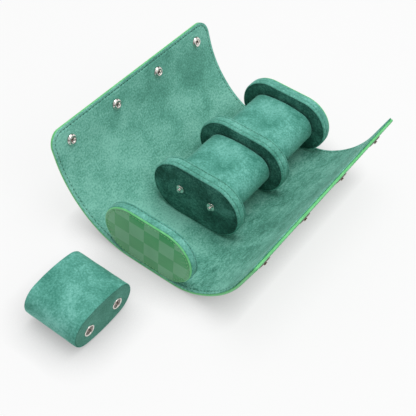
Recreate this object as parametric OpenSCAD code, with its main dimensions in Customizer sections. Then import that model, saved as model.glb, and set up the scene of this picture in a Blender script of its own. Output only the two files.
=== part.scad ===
// Watch roll for three watches, laid open, with one of its three pillows taken out and set beside it.
// X runs along the stack of dividers, +Y towards the back flap, +Z up, and the wrap's underside is at z = 0.
// The origin is the middle of the wrap's flat underside.

/* [Stack] */
// Width of the end caps and dividers, across the roll
stack_w = 90; // [80:1:110]
// Height of the end caps and dividers
stack_h = 55; // [50:1:62]
// Thickness of the near end cap
near_cap_t = 7.6; // [6.5:0.1:12]
// Thickness of each divider
divider_t = 9.8; // [8.5:0.1:14]
// Gap left behind a seated pillow, which lets it pull off its snaps
pillow_slack = 3.5; // [3.5:0.1:8]
// How much longer the far bay is than the other two
far_bay_extra = 3.6; // [0:0.1:8]
// Thickness of the far end cap
far_cap_t = 10.2; // [8.5:0.1:14]
// Thickness of the suede on the caps, dividers and pillow ends
suede_t = 0.8; // [0.5:0.1:1.2]
// Rounding of the suede where a face turns into the rim
suede_round = 1.4; // [0.6:0.1:1.8]
// Thickness of the leather face of an end cap
cap_leather_t = 1.2; // [0.8:0.1:2]
// Gap left between two glued halves and along their seams
seam_gap = 0.3; // [0.2:0.05:0.6]

/* [Wrap] */
// Thickness of the wrap's outer leather
leather_t = 1; // [0.8:0.1:1.6]
// Thickness of the padding inside the wrap
padding_t = 1.7; // [1.4:0.1:3]
// Thickness of the wrap's suede lining
lining_t = 0.8; // [0.5:0.1:1.2]
// Radius of the wrap's four corners
corner_r = 14; // [6:1:20]
// Front side: flat length from the middle of the stack to the first bend
front_flat = 25; // [20:0.5:28]
// Front side: inner radius of the bend that lifts it off the table
front_bend_r = 50; // [40:1:70]
// Front side: angle of that bend
front_bend_a = 32; // [20:1:40]
// Front side: inner radius of the gentle curl above the bend
front_curl_r = 88; // [70:1:120]
// Front side: angle of the curl
front_curl_a = 36; // [25:1:40]
// Front side: straight lip that carries the studs
front_lip = 30.5; // [24:0.5:40]
// Back flap: flat length from the middle of the stack to the first bend
flap_flat = 17.5; // [15:0.5:28]
// Back flap: inner radius of the bend that lifts it off the table
flap_bend_r = 72; // [55:1:90]
// Back flap: angle of that bend
flap_bend_a = 40.5; // [30:0.5:45]
// Back flap: inner radius of the gentle curl above the bend
flap_curl_r = 100; // [80:1:130]
// Back flap: angle of the curl
flap_curl_a = 31; // [20:1:36]
// Back flap: straight lip that carries the sockets
flap_lip = 24.5; // [20:0.5:40]
// Gap between two neighbouring panels at a fold
fold_gap = 0.3; // [0.2:0.05:0.5]

/* [Closure] */
// Distance of the closure snaps from the near and far edges of the wrap
snap_margin = 20.5; // [12:0.5:30]
// Distance of the sockets from the flap's edge
socket_inset = 15; // [9:0.5:20]
// Distance of the studs from the front side's edge
stud_inset = 15; // [9:0.5:20]
// Outer radius of a closure socket
socket_r = 5.2; // [4.5:0.1:6]
// Height of a closure socket above the lining
socket_h = 2.5; // [2:0.1:3.2]
// Outer radius of a closure stud's flange
stud_flange_r = 5; // [4:0.1:6]
// Height of a closure stud above the leather
stud_h = 2.8; // [2.4:0.1:2.9]
// Radius of the bore of every socket
snap_bore_r = 2.3; // [2.2:0.05:2.6]
// Radius of the knob of every stud
snap_knob_r = 1.8; // [1.5:0.05:1.9]
// Thickness of a stud's flange
flange_t = 0.8; // [0.5:0.1:1]
// Radius of the shank of a hidden rivet post
shank_r = 1.2; // [1:0.1:1.5]
// Radius of the head of a hidden rivet post
head_r = 4; // [3:0.1:5]
// Thickness of the head of a hidden rivet post
head_t = 0.5; // [0.4:0.1:0.8]

/* [Pillows] */
// Width of a pillow
pillow_w = 67; // [60:0.5:74]
// Height of a pillow
pillow_h = 37.2; // [36:0.1:42]
// Length of a pillow
pillow_l = 52; // [44:0.5:64]
// Radius of a pillow's rounded sides
pillow_side_r = 17; // [14:0.1:17.8]
// How far a pillow's skin is drawn in at its ends
pillow_crown = 0.8; // [0.3:0.1:1.5]
// Thickness of a pillow's suede sleeve
sleeve_t = 1; // [0.8:0.1:1.6]
// Distance between the two snaps that hold a pillow
pillow_snap_gap = 32.4; // [26:0.2:36]
// Height of those snaps above the middle of the pillow and its divider
pillow_snap_rise = 2; // [0:0.5:4]
// Radius of the flange of a pillow stud
pillow_stud_r = 4; // [3:0.1:5]
// Height of a pillow stud above its divider
pillow_stud_h = 3.2; // [2.8:0.1:3.4]
// Radius of the visible rim of a pillow socket
pillow_socket_r = 5.3; // [4.6:0.1:6]
// Thickness of that rim
pillow_rim_t = 0.5; // [0.3:0.1:0.8]
// Depth of a pillow socket below its rim
pillow_socket_l = 3.6; // [3.2:0.1:5]
// Gap left between the rim of a socket and the flange of its stud
snap_play = 0.2; // [0.1:0.05:0.4]

/* [Loose pillow] */
// Gap on the table between the wrap's near edge and the loose pillow
loose_gap = 33.8; // [10:0.2:60]
// Place of the loose pillow's middle along Y
loose_y = 14.4; // [-40:0.2:60]
// Turn of the loose pillow about the vertical
loose_turn = 0; // [-30:1:30]

/* [Hidden] */
$fn = 64;

leather_green = "#4f9a5e";
suede_green = "#4f9c84";
dark_suede = "#2c6b58";
board_grey = "#8d8a80";
foam_cream = "#d8d2bf";
nickel = "#c9c9c4";

// Clearance between nested pieces, and what a cut runs past a face
fit = 0.1;
past = 1;
// Longest step along a curve of the wrap
wrap_step = 3;

// What a seated pillow stands off the face that its snaps hold it to
stand_off = flange_t + snap_play + pillow_rim_t;

// Clear lengths of the bays
near_bay_l = stand_off + pillow_l + pillow_slack;
middle_bay_l = near_bay_l;
far_bay_l = near_bay_l + far_bay_extra;

// Places along the stack
stack_l = near_cap_t + near_bay_l + divider_t + middle_bay_l + divider_t + far_bay_l + far_cap_t;
near_x = -stack_l / 2;
near_bay_x = near_x + near_cap_t;
divider_a_x = near_bay_x + near_bay_l;
middle_bay_x = divider_a_x + divider_t;
divider_b_x = middle_bay_x + middle_bay_l;
far_bay_x = divider_b_x + divider_t;
far_cap_x = far_bay_x + far_bay_l;

// The wrap's layers, as depths below the lining's surface
lining_depth = [0, lining_t];
padding_depth = [lining_t, lining_t + padding_t];
leather_depth = [lining_t + padding_t, lining_t + padding_t + leather_t];
wrap_t = leather_depth[1];

// Heights in the stack
stack_mid_z = wrap_t + stack_h / 2;
snap_z = stack_mid_z + pillow_snap_rise;

// Each side of the wrap as stretches of [length, turn], from the middle of the base outwards
front_path = [
    [front_flat, 0],
    [front_bend_r * front_bend_a * PI / 180, front_bend_a],
    [front_curl_r * front_curl_a * PI / 180, front_curl_a],
    [front_lip, 0]
];
flap_path = [
    [flap_flat, 0],
    [flap_bend_r * flap_bend_a * PI / 180, flap_bend_a],
    [flap_curl_r * flap_curl_a * PI / 180, flap_curl_a],
    [flap_lip, 0]
];
front_l = path_length(front_path);
flap_l = path_length(flap_path);

// Where the folds lie round the stack's rounded end when the roll is closed, in degrees from its flat base
closed_slack = 1;
front_fold_angles = [22, 75.5, 120, 162.5];
flap_fold_angles = [25, 63.5, 109.5, 176];
function fold_place(angle) = (stack_w - stack_h) / 2 + (stack_h / 2 + closed_slack) * angle * PI / 180;
front_folds = [for (angle = front_fold_angles) fold_place(angle)];
flap_folds = [for (angle = flap_fold_angles) fold_place(angle)];

// Length of a path of stretches
function path_length(path, i = 0) = i == len(path) ? 0 : path[i][0] + path_length(path, i + 1);

// Place and heading [y, z, a] after a straight or round step of length d that turns by turn
function step(y, z, a, d, turn) =
    turn == 0 ? [y + d * cos(a), z + d * sin(a), a]
    : let (r = d * 180 / (PI * turn))
        [y + r * (sin(a + turn) - sin(a)), z - r * (cos(a + turn) - cos(a)), a + turn];

// Place and heading on the lining's surface at distance s along a path
function walk(path, s, i = 0, y = 0, z = wrap_t, a = 0) =
    let (
        stretch = path[i][0],
        d = i == len(path) - 1 ? s : min(s, stretch),
        at = step(y, z, a, d, path[i][1] * d / stretch)
    )
    s <= stretch || i == len(path) - 1 ? at : walk(path, s - stretch, i + 1, at[0], at[1], at[2]);

// The same place moved outwards through the wrap by depth
function below(at, depth) = [at[0] + depth * sin(at[2]), at[1] - depth * cos(at[2])];

// Points of the wrap at a depth, from distance s0 to s1
function wrap_points(path, s0, s1, depth) =
    let (steps = ceil((s1 - s0) / wrap_step))
    [for (i = [0:steps]) below(walk(path, s0 + (s1 - s0) * i / steps), depth)];

function reversed(points) = [for (i = [len(points) - 1:-1:0]) points[i]];
function mirrored(points) = [for (p = points) [-p[0], p[1]]];

// Extrudes a (y, z) outline along X, centred
module along_x(length) {
    rotate([90, 0, 90])
        linear_extrude(height = length, center = true)
            children();
}

// Stands children on the wrap at distance s along the flap, their +Z pointing out of the lining
module on_flap(x, s) {
    at = walk(flap_path, s);
    translate([x, at[0], at[1]])
        rotate([at[2], 0, 0])
            children();
}

module on_front(x, s) {
    mirror([0, 1, 0]) {
        at = walk(front_path, s);
        translate([x, at[0], at[1]])
            rotate([at[2], 0, 0])
                children();
    }
}

// One panel of the wrap between two folds
module panel(path, s0, s1, depth) {
    along_x(stack_l)
        polygon(concat(
            wrap_points(path, s0, s1, depth[0]),
            reversed(wrap_points(path, s0, s1, depth[1]))
        ));
}

// What rounds off the two corners of a lip, in the frame of the lip's surface at corner_r from its edge
module corner_cuts() {
    cut = corner_r + past;
    for (side = [-1, 1])
        translate([side * (stack_l / 2 - corner_r), 0, -wrap_t - past])
            linear_extrude(height = wrap_t + 2 * past)
                difference() {
                    translate([side > 0 ? 0 : -cut, 0])
                        square(cut);
                    circle(r = corner_r);
                }
}

// Places of the four closure snaps along X
snap_xs = [for (i = [0:3]) -stack_l / 2 + snap_margin + i * (stack_l - 2 * snap_margin) / 3];

module front_panel(i, depth) {
    last = i == 3;
    s0 = front_folds[i] + fold_gap / 2;
    s1 = last ? front_l : front_folds[i + 1] - fold_gap / 2;
    mirror([0, 1, 0])
        panel_with_lip(front_path, s0, s1, depth, front_l, last);
}

module flap_panel(i, depth) {
    last = i == 3;
    s0 = flap_folds[i] + fold_gap / 2;
    s1 = last ? flap_l : flap_folds[i + 1] - fold_gap / 2;
    panel_with_lip(flap_path, s0, s1, depth, flap_l, last);
}

module panel_with_lip(path, s0, s1, depth, length, last) {
    if (last)
        difference() {
            panel(path, s0, s1, depth);
            at = walk(path, length - corner_r);
            translate([0, at[0], at[1]])
                rotate([at[2], 0, 0])
                    corner_cuts();
        }
    else
        panel(path, s0, s1, depth);
}

// The base under the stack, from the first front fold to the first flap fold
module base_layer(depth) {
    front_end = front_folds[0] - fold_gap / 2;
    flap_end = flap_folds[0] - fold_gap / 2;
    inner = concat(
        mirrored(reversed(wrap_points(front_path, 0, front_end, depth[0]))),
        wrap_points(flap_path, 0, flap_end, depth[0])
    );
    outer = concat(
        mirrored(reversed(wrap_points(front_path, 0, front_end, depth[1]))),
        wrap_points(flap_path, 0, flap_end, depth[1])
    );
    along_x(stack_l)
        polygon(concat(inner, reversed(outer)));
}

module front_leather(i) {
    color(leather_green)
        difference() {
            front_panel(i, leather_depth);
            if (i == 3)
                front_snap_holes();
        }
}

module front_padding(i) {
    color(foam_cream)
        difference() {
            front_panel(i, padding_depth);
            if (i == 3) {
                front_snap_holes();
                for (x = snap_xs)
                    on_front(x, front_l - stud_inset)
                        translate([0, 0, -lining_t - head_t - fit])
                            cylinder(r = head_r + fit, h = head_t + fit + past);
            }
        }
}

module front_lining(i) {
    color(suede_green)
        front_panel(i, lining_depth);
}

module front_snap_holes() {
    for (x = snap_xs)
        on_front(x, front_l - stud_inset)
            translate([0, 0, -wrap_t - past])
                cylinder(r = shank_r + fit, h = wrap_t + 2 * past);
}

module flap_leather(i) {
    color(leather_green)
        flap_panel(i, leather_depth);
}

module flap_padding(i) {
    color(foam_cream)
        difference() {
            flap_panel(i, padding_depth);
            if (i == 3) {
                flap_snap_holes();
                for (x = snap_xs)
                    on_flap(x, flap_l - socket_inset)
                        translate([0, 0, -padding_depth[1] - past])
                            cylinder(r = head_r + fit, h = head_t + fit + past);
            }
        }
}

module flap_lining(i) {
    color(suede_green)
        difference() {
            flap_panel(i, lining_depth);
            if (i == 3)
                flap_snap_holes();
        }
}

module flap_snap_holes() {
    for (x = snap_xs)
        on_flap(x, flap_l - socket_inset)
            translate([0, 0, -wrap_t - past])
                cylinder(r = shank_r + fit, h = wrap_t + 2 * past);
}

// Domed ring socket on a closed base, standing on z = 0 with its bore upwards
module socket(r, h) {
    floor_t = 0.5;
    shoulder = h * 0.35;
    rotate_extrude()
        polygon([
            [0, 0], [r, 0], [r, shoulder], [r * 0.94, h * 0.7], [r * 0.8, h * 0.93], [r * 0.62, h],
            [snap_bore_r + 0.3, h], [snap_bore_r, h - 0.3], [snap_bore_r, floor_t], [0, floor_t]
        ]);
}

// Stud with a flat flange and a waisted knob, standing on z = 0
module stud(r, h) {
    waist_r = snap_knob_r * 0.8;
    knob_z = flange_t + (h - flange_t) * 0.45;
    rotate_extrude()
        polygon([
            [0, 0], [r, 0], [r, flange_t * 0.4], [r * 0.88, flange_t], [waist_r, flange_t],
            [waist_r, knob_z], [snap_knob_r, knob_z + 0.4], [snap_knob_r, h - 0.5],
            [snap_knob_r * 0.7, h], [0, h]
        ]);
}

// Rivet post: a thin head on z = 0 and a shank upwards
module post(length) {
    cylinder(r = head_r, h = head_t);
    cylinder(r = shank_r, h = length);
}

module flap_sockets() {
    color(nickel)
        for (x = snap_xs)
            on_flap(x, flap_l - socket_inset)
                socket(socket_r, socket_h);
}

module flap_socket_posts() {
    color(nickel)
        for (x = snap_xs)
            on_flap(x, flap_l - socket_inset)
                translate([0, 0, -padding_depth[1]])
                    post(padding_depth[1]);
}

module front_studs() {
    color(nickel)
        for (x = snap_xs)
            on_front(x, front_l - stud_inset)
                translate([0, 0, -wrap_t])
                    mirror([0, 0, 1])
                        stud(stud_flange_r, stud_h);
}

module front_stud_posts() {
    color(nickel)
        for (x = snap_xs)
            on_front(x, front_l - stud_inset)
                translate([0, 0, -lining_t])
                    mirror([0, 0, 1])
                        post(padding_t + leather_t);
}

// Outline of a cap or divider, flat above and below with round ends, drawn in (y, z)
module stadium(w, h) {
    square([w - h, h], center = true);
    for (side = [-1, 1])
        translate([side * (w - h) / 2, 0])
            circle(d = h, $fn = 96);
}

// A slab of that outline from x over a thickness, smaller all round by inset
module slab(x, thickness, inset = 0) {
    translate([x, 0, stack_mid_z])
        rotate([90, 0, 90])
            linear_extrude(height = thickness)
                stadium(stack_w - 2 * inset, stack_h - 2 * inset);
}

// Half section of a slab, radius across and depth up, with its edge at depth 0 rounded
module rounded_section(half, thickness, r) {
    difference() {
        square([half, thickness]);
        difference() {
            translate([half - r, -past])
                square(r + past);
            translate([half - r, r])
                circle(r = r);
            translate([half - r - past, r])
                square(2 * (r + past));
        }
    }
}

// A full-size slab with the rounded edge on its near side, or on its far side if face is 1
module rounded_slab(x, thickness, r, face) {
    half = stack_h / 2;
    straight = stack_w - stack_h;
    translate([face > 0 ? x + thickness : x, 0, stack_mid_z])
        rotate([0, face > 0 ? -90 : 90, 0]) {
            for (side = [-1, 1])
                translate([0, side * straight / 2, 0])
                    rotate_extrude($fn = 96)
                        rounded_section(half, thickness, r);
            rotate([90, 0, 0])
                linear_extrude(height = straight, center = true)
                    for (m = [0, 1])
                        mirror([m, 0])
                            rounded_section(half, thickness, r);
        }
}

// Suede drawn over one side of a board: a rounded face and a rim. Its open side is the far one if opening is 1
module suede_cup(x, depth, opening) {
    difference() {
        rounded_slab(x, depth, suede_round, -opening);
        slab(opening > 0 ? x + suede_t : x - past, depth - suede_t + past, suede_t);
    }
}

// Drills the two pillow snap holes along X, from x over a length
module pillow_snap_drill(x, length, r) {
    for (side = [-1, 1])
        translate([x, side * pillow_snap_gap / 2, snap_z])
            rotate([0, 90, 0])
                cylinder(r = r, h = length);
}

// Half of a divider: its suede stops short of the middle by half the seam gap, its board reaches the middle
half_t = divider_t / 2;
half_suede_t = half_t - seam_gap / 2;
half_board_t = half_t - suede_t;

module near_cap_leather() {
    color(leather_green)
        rounded_slab(near_x, cap_leather_t, cap_leather_t / 2, -1);
}

module near_cap_board() {
    color(board_grey)
        slab(near_x + cap_leather_t, near_cap_t - cap_leather_t - suede_t, suede_t + fit);
}

module near_cap_suede() {
    color(suede_green)
        suede_cup(near_x + cap_leather_t, near_cap_t - cap_leather_t, -1);
}

module far_cap_leather() {
    color(leather_green)
        rounded_slab(far_cap_x + far_cap_t - cap_leather_t, cap_leather_t, cap_leather_t / 2, 1);
}

// The board behind a face with pillow studs, recessed from behind for the heads of their posts
module studded_board(x) {
    color(board_grey)
        difference() {
            slab(x + suede_t, half_board_t, suede_t + fit);
            pillow_snap_drill(x - past, divider_t, shank_r + fit);
            pillow_snap_drill(x + half_t - head_t - fit, divider_t, head_r + fit);
        }
}

module far_cap_inner_board() {
    studded_board(far_cap_x);
}

module far_cap_outer_board() {
    color(board_grey)
        slab(far_cap_x + half_t, far_cap_t - cap_leather_t - half_t, suede_t + fit);
}

module far_cap_suede() {
    color(dark_suede)
        difference() {
            suede_cup(far_cap_x, far_cap_t - cap_leather_t, 1);
            pillow_snap_drill(far_cap_x - past, suede_t + 2 * past, shank_r + fit);
        }
}

module divider_near_suede(x) {
    color(dark_suede)
        difference() {
            suede_cup(x, half_suede_t, 1);
            pillow_snap_drill(x - past, suede_t + 2 * past, shank_r + fit);
        }
}

module divider_far_board(x) {
    color(board_grey)
        slab(x + half_t, half_board_t, suede_t + fit);
}

module divider_far_suede(x) {
    color(suede_green)
        suede_cup(x + half_t + seam_gap / 2, half_suede_t, -1);
}

// The faces that carry pillow studs
stud_faces = [divider_a_x, divider_b_x, far_cap_x];

module pillow_studs() {
    color(nickel)
        for (x = stud_faces, side = [-1, 1])
            translate([x, side * pillow_snap_gap / 2, snap_z])
                rotate([0, -90, 0])
                    stud(pillow_stud_r, pillow_stud_h);
}

module pillow_stud_posts() {
    color(nickel)
        for (x = stud_faces, side = [-1, 1])
            translate([x + half_t, side * pillow_snap_gap / 2, snap_z])
                rotate([0, -90, 0])
                    post(half_t);
}

// Outline of a pillow, crowned above and below, grown or shrunk all round. A list of (y, z) points
side_points = 10;
crown_points = 12;
function pillow_outline(grow) =
    let (
        a = pillow_w / 2,
        b = pillow_h / 2,
        r = pillow_side_r,
        crown_r = ((a - r) * (a - r) + b * b - r * r) / (2 * (b - r)),
        meet = atan2(crown_r - b, a - r)
    )
    [
        for (i = [0:side_points]) let (t = meet * (2 * i / side_points - 1))
            [a - r + (r + grow) * cos(t), (r + grow) * sin(t)],
        for (i = [1:crown_points - 1]) let (t = meet + (180 - 2 * meet) * i / crown_points)
            [(crown_r + grow) * cos(t), b - crown_r + (crown_r + grow) * sin(t)],
        for (i = [0:side_points]) let (t = 180 + meet * (2 * i / side_points - 1))
            [r - a + (r + grow) * cos(t), (r + grow) * sin(t)],
        for (i = [1:crown_points - 1]) let (t = 180 + meet + (180 - 2 * meet) * i / crown_points)
            [(crown_r + grow) * cos(t), crown_r - b + (crown_r + grow) * sin(t)]
    ];

// Rings of the sleeve's skin: [share of the half length, how far it is drawn in]
edge_round = 0.7;
sleeve_rings = concat(
    [[-1, pillow_crown + edge_round], [-0.97, pillow_crown + 0.1]],
    [for (u = [-0.8, -0.5, 0, 0.5, 0.8]) [u, pillow_crown * u * u]],
    [[0.97, pillow_crown + 0.1], [1, pillow_crown + edge_round]]
);
sleeve_inset = pillow_crown + edge_round + sleeve_t;

function ring_points(u, grow) = [for (p = pillow_outline(grow)) [u * pillow_l / 2, p[0], p[1]]];

// A tube along X: the crowned skin outside and a straight bore, all in triangles
module pillow_tube() {
    outer = [for (ring = sleeve_rings) ring_points(ring[0], -ring[1])];
    inner = [for (side = [1, -1]) ring_points(side, -sleeve_inset)];
    rings = concat(outer, inner);
    n = len(rings[0]);
    count = len(rings);
    faces = [
        for (k = [0:count - 1], i = [0:n - 1])
            let (
                j = (i + 1) % n,
                here = k * n,
                next = ((k + 1) % count) * n
            )
            each [[here + i, next + i, here + j], [here + j, next + i, next + j]]
    ];
    polyhedron(points = [for (ring = rings) each ring], faces = faces);
}

// A pillow lies along X with its middle at the origin and its sockets in the +X end
module pillow_slab(x, thickness, grow) {
    translate([x, 0, 0])
        rotate([90, 0, 90])
            linear_extrude(height = thickness)
                polygon(pillow_outline(grow));
}

module pillow_socket_drill(r, depth) {
    for (side = [-1, 1])
        translate([pillow_l / 2 + past, side * pillow_snap_gap / 2, pillow_snap_rise])
            rotate([0, -90, 0])
                cylinder(r = r, h = depth + past);
}

module pillow_foam() {
    color(foam_cream)
        difference() {
            pillow_slab(-pillow_l / 2 + suede_t + fit, pillow_l - 2 * (suede_t + fit), -sleeve_inset - fit);
            pillow_socket_drill(socket_barrel_r + fit, pillow_socket_l + fit);
        }
}

module pillow_sleeve() {
    color(suede_green)
        pillow_tube();
}

module pillow_ends() {
    color(dark_suede)
        difference() {
            union() {
                pillow_slab(-pillow_l / 2, suede_t, -sleeve_inset - fit);
                pillow_slab(pillow_l / 2 - suede_t, suede_t, -sleeve_inset - fit);
            }
            pillow_socket_drill(socket_barrel_r + fit, suede_t + past);
        }
}

// A pillow socket: a rim on the suede, and a barrel with the bore sunk into the foam
socket_barrel_r = pillow_socket_r - 0.6;
module pillow_sockets() {
    floor_t = 0.5;
    color(nickel)
        for (side = [-1, 1])
            translate([pillow_l / 2, side * pillow_snap_gap / 2, pillow_snap_rise])
                rotate([0, 90, 0])
                    rotate_extrude()
                        polygon([
                            [0, -pillow_socket_l], [socket_barrel_r, -pillow_socket_l], [socket_barrel_r, 0],
                            [pillow_socket_r, 0], [pillow_socket_r - 0.3, pillow_rim_t],
                            [snap_bore_r + 0.3, pillow_rim_t], [snap_bore_r, pillow_rim_t - 0.3],
                            [snap_bore_r, floor_t - pillow_socket_l], [0, floor_t - pillow_socket_l]
                        ]);
}

// A pillow snapped onto the face at x, with its sockets over that face's studs
module seated(x) {
    translate([x - stand_off - pillow_l / 2, 0, stack_mid_z])
        children();
}

// The loose pillow stands on the table beside the near cap, turned over, its sockets facing the front
module set_aside() {
    translate([near_x - loose_gap - pillow_w / 2, loose_y, pillow_h / 2])
        rotate([0, 0, loose_turn - 90])
            rotate([180, 0, 0])
                children();
}

color(leather_green) base_layer(leather_depth);  // wrap_base_leather
color(foam_cream) base_layer(padding_depth);  // wrap_base_padding
color(suede_green) base_layer(lining_depth);  // wrap_base_lining
front_leather(0);  // front_panel_1_leather
front_padding(0);  // front_panel_1_padding
front_lining(0);  // front_panel_1_lining
front_leather(1);  // front_panel_2_leather
front_padding(1);  // front_panel_2_padding
front_lining(1);  // front_panel_2_lining
front_leather(2);  // front_panel_3_leather
front_padding(2);  // front_panel_3_padding
front_lining(2);  // front_panel_3_lining
front_leather(3);  // front_panel_4_leather
front_padding(3);  // front_panel_4_padding
front_lining(3);  // front_panel_4_lining
flap_leather(0);  // flap_panel_1_leather
flap_padding(0);  // flap_panel_1_padding
flap_lining(0);  // flap_panel_1_lining
flap_leather(1);  // flap_panel_2_leather
flap_padding(1);  // flap_panel_2_padding
flap_lining(1);  // flap_panel_2_lining
flap_leather(2);  // flap_panel_3_leather
flap_padding(2);  // flap_panel_3_padding
flap_lining(2);  // flap_panel_3_lining
flap_leather(3);  // flap_panel_4_leather
flap_padding(3);  // flap_panel_4_padding
flap_lining(3);  // flap_panel_4_lining
flap_sockets();
flap_socket_posts();
front_studs();
front_stud_posts();
near_cap_leather();
near_cap_board();
near_cap_suede();
divider_near_suede(divider_a_x);  // divider_a_near_suede
studded_board(divider_a_x);  // divider_a_near_board
divider_far_board(divider_a_x);  // divider_a_far_board
divider_far_suede(divider_a_x);  // divider_a_far_suede
divider_near_suede(divider_b_x);  // divider_b_near_suede
studded_board(divider_b_x);  // divider_b_near_board
divider_far_board(divider_b_x);  // divider_b_far_board
divider_far_suede(divider_b_x);  // divider_b_far_suede
far_cap_suede();
far_cap_inner_board();
far_cap_outer_board();
far_cap_leather();
pillow_studs();
pillow_stud_posts();
set_aside() pillow_foam();  // near_pillow_foam
set_aside() pillow_sleeve();  // near_pillow_sleeve
set_aside() pillow_ends();  // near_pillow_ends
set_aside() pillow_sockets();  // near_pillow_sockets
seated(divider_b_x) pillow_foam();  // middle_pillow_foam
seated(divider_b_x) pillow_sleeve();  // middle_pillow_sleeve
seated(divider_b_x) pillow_ends();  // middle_pillow_ends
seated(divider_b_x) pillow_sockets();  // middle_pillow_sockets
seated(far_cap_x) pillow_foam();  // far_pillow_foam
seated(far_cap_x) pillow_sleeve();  // far_pillow_sleeve
seated(far_cap_x) pillow_ends();  // far_pillow_ends
seated(far_cap_x) pillow_sockets();  // far_pillow_sockets
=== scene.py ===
"""Watch roll lying open: a supple leather wrap lined with microsuede, and on it a stack of oval dividers
between two end caps, with two watch pillows snapped in and one set aside. Pieces and camera are placed in
millimetres. Lights, floor and the scales inside the materials are in metres."""

import math

import bmesh
import bpy
from mathutils import Matrix, Vector, noise


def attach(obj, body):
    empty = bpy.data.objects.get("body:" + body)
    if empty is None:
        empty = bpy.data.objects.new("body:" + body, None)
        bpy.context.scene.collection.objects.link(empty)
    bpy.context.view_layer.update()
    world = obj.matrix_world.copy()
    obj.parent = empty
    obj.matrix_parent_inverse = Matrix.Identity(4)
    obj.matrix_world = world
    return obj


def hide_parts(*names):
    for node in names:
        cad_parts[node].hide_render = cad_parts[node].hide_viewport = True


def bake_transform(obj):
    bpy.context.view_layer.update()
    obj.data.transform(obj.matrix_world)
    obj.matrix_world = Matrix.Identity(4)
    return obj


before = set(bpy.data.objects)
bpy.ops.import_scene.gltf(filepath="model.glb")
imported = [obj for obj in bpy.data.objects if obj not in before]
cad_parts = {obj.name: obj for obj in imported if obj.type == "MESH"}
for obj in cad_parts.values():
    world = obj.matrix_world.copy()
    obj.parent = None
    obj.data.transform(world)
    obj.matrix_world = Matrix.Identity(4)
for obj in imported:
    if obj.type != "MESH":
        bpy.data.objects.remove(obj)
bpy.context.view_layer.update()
MM = 0.001

# the roll's own sizes

STACK_W, STACK_H, STACK_L = 90.0, 55.0, 212.0
WRAP_T, LINING_T = 3.5, 0.8
FLAP_CORNER, FRONT_CORNER = 14.0, 3.0
DIVIDER_T, CAP_LEATHER_T = 9.8, 1.2
MID_Z = WRAP_T + STACK_H / 2
EDGE_X = STACK_L / 2
# places along the stack: the near cap's inner face, the dividers' near faces and the far cap's inner face
NEAR_CAP_FACE, DIVIDER_A_FACE, DIVIDER_B_FACE, FAR_CAP_FACE = -98.4, -41.4, 25.4, 95.8

# each side of the wrap, from the middle of the base outwards: length, and turn in degrees
FRONT = ((25.0, 0.0), (27.925, 32.0), (55.292, 36.0), (30.5, 0.0))
FLAP = ((17.5, 0.0), (50.894, 40.5), (54.105, 31.0), (24.5, 0.0))
FRONT_L = sum(length for length, turn in FRONT)
FLAP_L = sum(length for length, turn in FLAP)
WRAP_MIDDLE, WRAP_HALF = (FLAP_L - FRONT_L) / 2, (FLAP_L + FRONT_L) / 2
# where the bodies of each side meet, from the middle of the base
FRONT_FOLDS = (28.443, 55.055, 77.190, 98.331)
FLAP_FOLDS = (29.935, 49.086, 71.968, 105.047)


def walk(path, s):
    """Place and heading on the lining at distance s along one side of the wrap."""
    y, z, heading = 0.0, WRAP_T, 0.0
    for i, (length, turn) in enumerate(path):
        d = s if i == len(path) - 1 else min(s, length)
        bend = math.radians(turn) * d / length
        if abs(bend) < 1e-9:
            y += d * math.cos(heading)
            z += d * math.sin(heading)
        else:
            r = d / bend
            y += r * (math.sin(heading + bend) - math.sin(heading))
            z -= r * (math.cos(heading + bend) - math.cos(heading))
            heading += bend
        if s <= length:
            break
        s -= length
    return y, z, heading


def on_wrap(x, s, depth):
    """A point at a depth under the lining's surface. Positive s runs up the flap, negative s up the front."""
    y, z, heading = walk(FLAP if s >= 0 else FRONT, abs(s))
    y += depth * math.sin(heading)
    z -= depth * math.cos(heading)
    return Vector((x, y if s >= 0 else -y, z))


def from_edge(x, s):
    """Distance inwards from the wrap's rounded outline, laid flat."""
    r = FLAP_CORNER if s > WRAP_MIDDLE else FRONT_CORNER
    past_x = abs(x) - (EDGE_X - r)
    past_s = abs(s - WRAP_MIDDLE) - (WRAP_HALF - r)
    outside = math.hypot(max(past_x, 0.0), max(past_s, 0.0))
    return r - outside - min(max(past_x, past_s), 0.0)


def half_width(e, r):
    """Half the wrap's width at distance e from a lip's edge, where its corners are rounded by r."""
    if e >= r:
        return EDGE_X
    return EDGE_X - r + math.sqrt(max(r**2 - (r - e) ** 2, 0.0))


def bell(d, at, width):
    """A smooth bump over d: 1 where d is at, and fading on both sides over about width."""
    return math.exp(-(((d - at) / width) ** 2))


def rising(d, start, length):
    """0 up to start, 1 from start + length on, and straight between."""
    return min(1.0, max(0.0, (d - start) / length))


def soft_noise(x, y, z, size, seed):
    """Smooth noise between about -1 and 1, with features about size across."""
    return noise.noise(Vector((x / size + seed, y / size - seed, z / size + 2 * seed)))


# mesh making


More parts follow.
